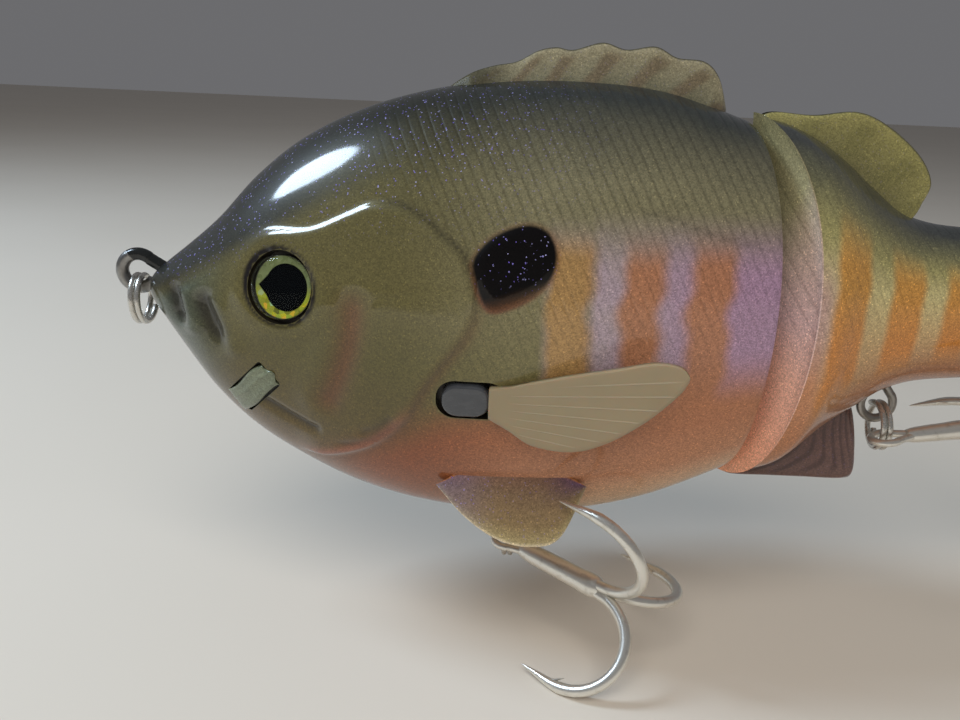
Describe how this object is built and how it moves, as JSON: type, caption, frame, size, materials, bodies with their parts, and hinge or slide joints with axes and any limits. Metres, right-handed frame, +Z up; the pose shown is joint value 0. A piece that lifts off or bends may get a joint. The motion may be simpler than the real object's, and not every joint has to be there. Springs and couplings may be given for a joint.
{
  "type": "swimbait",
  "caption": "Wide two-section hard glide bait shaped like a sunfish, hinged on a vertical pin, with soft fins and free-swinging treble hooks.",
  "frame": {"origin": "middle of the line tie's wire eye, in front of the nose", "axes": "+X from nose to tail, +Z up, the fish's left flank faces -Y; the middle plane is Y = 0"},
  "size_m": [0.1629, 0.047, 0.0788],
  "materials": {
    "front_paint": "metallic olive and copper paint under clear gloss",
    "rear_paint": "olive paint with orange bars under clear gloss",
    "fin_paint": "purple-brown paint with glitter under clear gloss",
    "lip_paint": "olive paint, satin",
    "tinned_wire": "bright wire",
    "hook_steel": "satin tin plating",
    "black_wire": "steel wire, partly blackened by paint",
    "iris_foil": "gold-green foil print",
    "clear_resin": "clear domed resin",
    "soft_fin": "translucent milky soft plastic",
    "tail_rubber": "translucent olive soft plastic",
    "dark_plastic": "dark glossy plastic",
    "lead": "dull cast weight"
  },
  "bodies": {
    "front": {"front_shell_left": "front_paint", "front_shell_right": "front_paint", "line_tie": "black_wire", "lip_insert_left": "lip_paint", "lip_insert_right": "lip_paint", "eye_iris_left": "iris_foil", "eye_iris_right": "iris_foil", "eye_lens_left": "clear_resin", "eye_lens_right": "clear_resin", "pectoral_root_left": "dark_plastic", "pectoral_root_right": "dark_plastic", "pectoral_fin_left": "soft_fin", "pectoral_fin_right": "soft_fin", "pelvic_fin_left": "fin_paint", "pelvic_fin_right": "fin_paint", "belly_hanger": "tinned_wire", "hinge_eye_upper": "tinned_wire", "hinge_eye_lower": "tinned_wire", "ballast_fore": "lead", "ballast_aft": "lead"},
    "rear": {"rear_shell_left": "rear_paint", "rear_shell_right": "rear_paint", "hinge_pin": "tinned_wire", "rear_hanger": "tinned_wire", "rear_ballast": "lead", "tail_fin": "tail_rubber", "tail_pin": "tinned_wire"},
    "nose_ring": {"nose_split_ring": "tinned_wire"},
    "belly_ring": {"belly_split_ring": "tinned_wire"},
    "belly_hook": {"belly_treble": "hook_steel"},
    "rear_ring": {"rear_split_ring": "tinned_wire"},
    "rear_hook": {"rear_treble": "hook_steel"}
  },
  "joints": [
    {"name": "tail_hinge", "type": "hinge", "parent": "front", "child": "rear", "pos_m": [0.082, 0, 0], "axis": [0, 0, 1], "range_deg": [-18, 18]},
    {"name": "nose_ring_swing", "type": "hinge", "parent": "front", "child": "nose_ring", "pos_m": [0.00025, 0, -0.00225], "axis": [1, 0, 0], "range_deg": [-60, 60]},
    {"name": "belly_ring_swing", "type": "hinge", "parent": "front", "child": "belly_ring", "pos_m": [0.0513, 0, -0.0354], "axis": [1, 0, 0], "range_deg": [0, 115]},
    {"name": "belly_hook_swing", "type": "hinge", "parent": "belly_ring", "child": "belly_hook", "pos_m": [0.0513, -0.0047, -0.0354], "axis": [0, 0, 1], "range_deg": [-45, 4]},
    {"name": "rear_ring_swing", "type": "hinge", "parent": "rear", "child": "rear_ring", "pos_m": [0.1016, 0, -0.01625], "axis": [1, 0, 0], "range_deg": [-5, 30]},
    {"name": "rear_hook_swing", "type": "hinge", "parent": "rear_ring", "child": "rear_hook", "pos_m": [0.1016, -0.00454, -0.01747], "axis": [0, -0.2588, 0.9659], "range_deg": [-110, 5]}
  ]
}
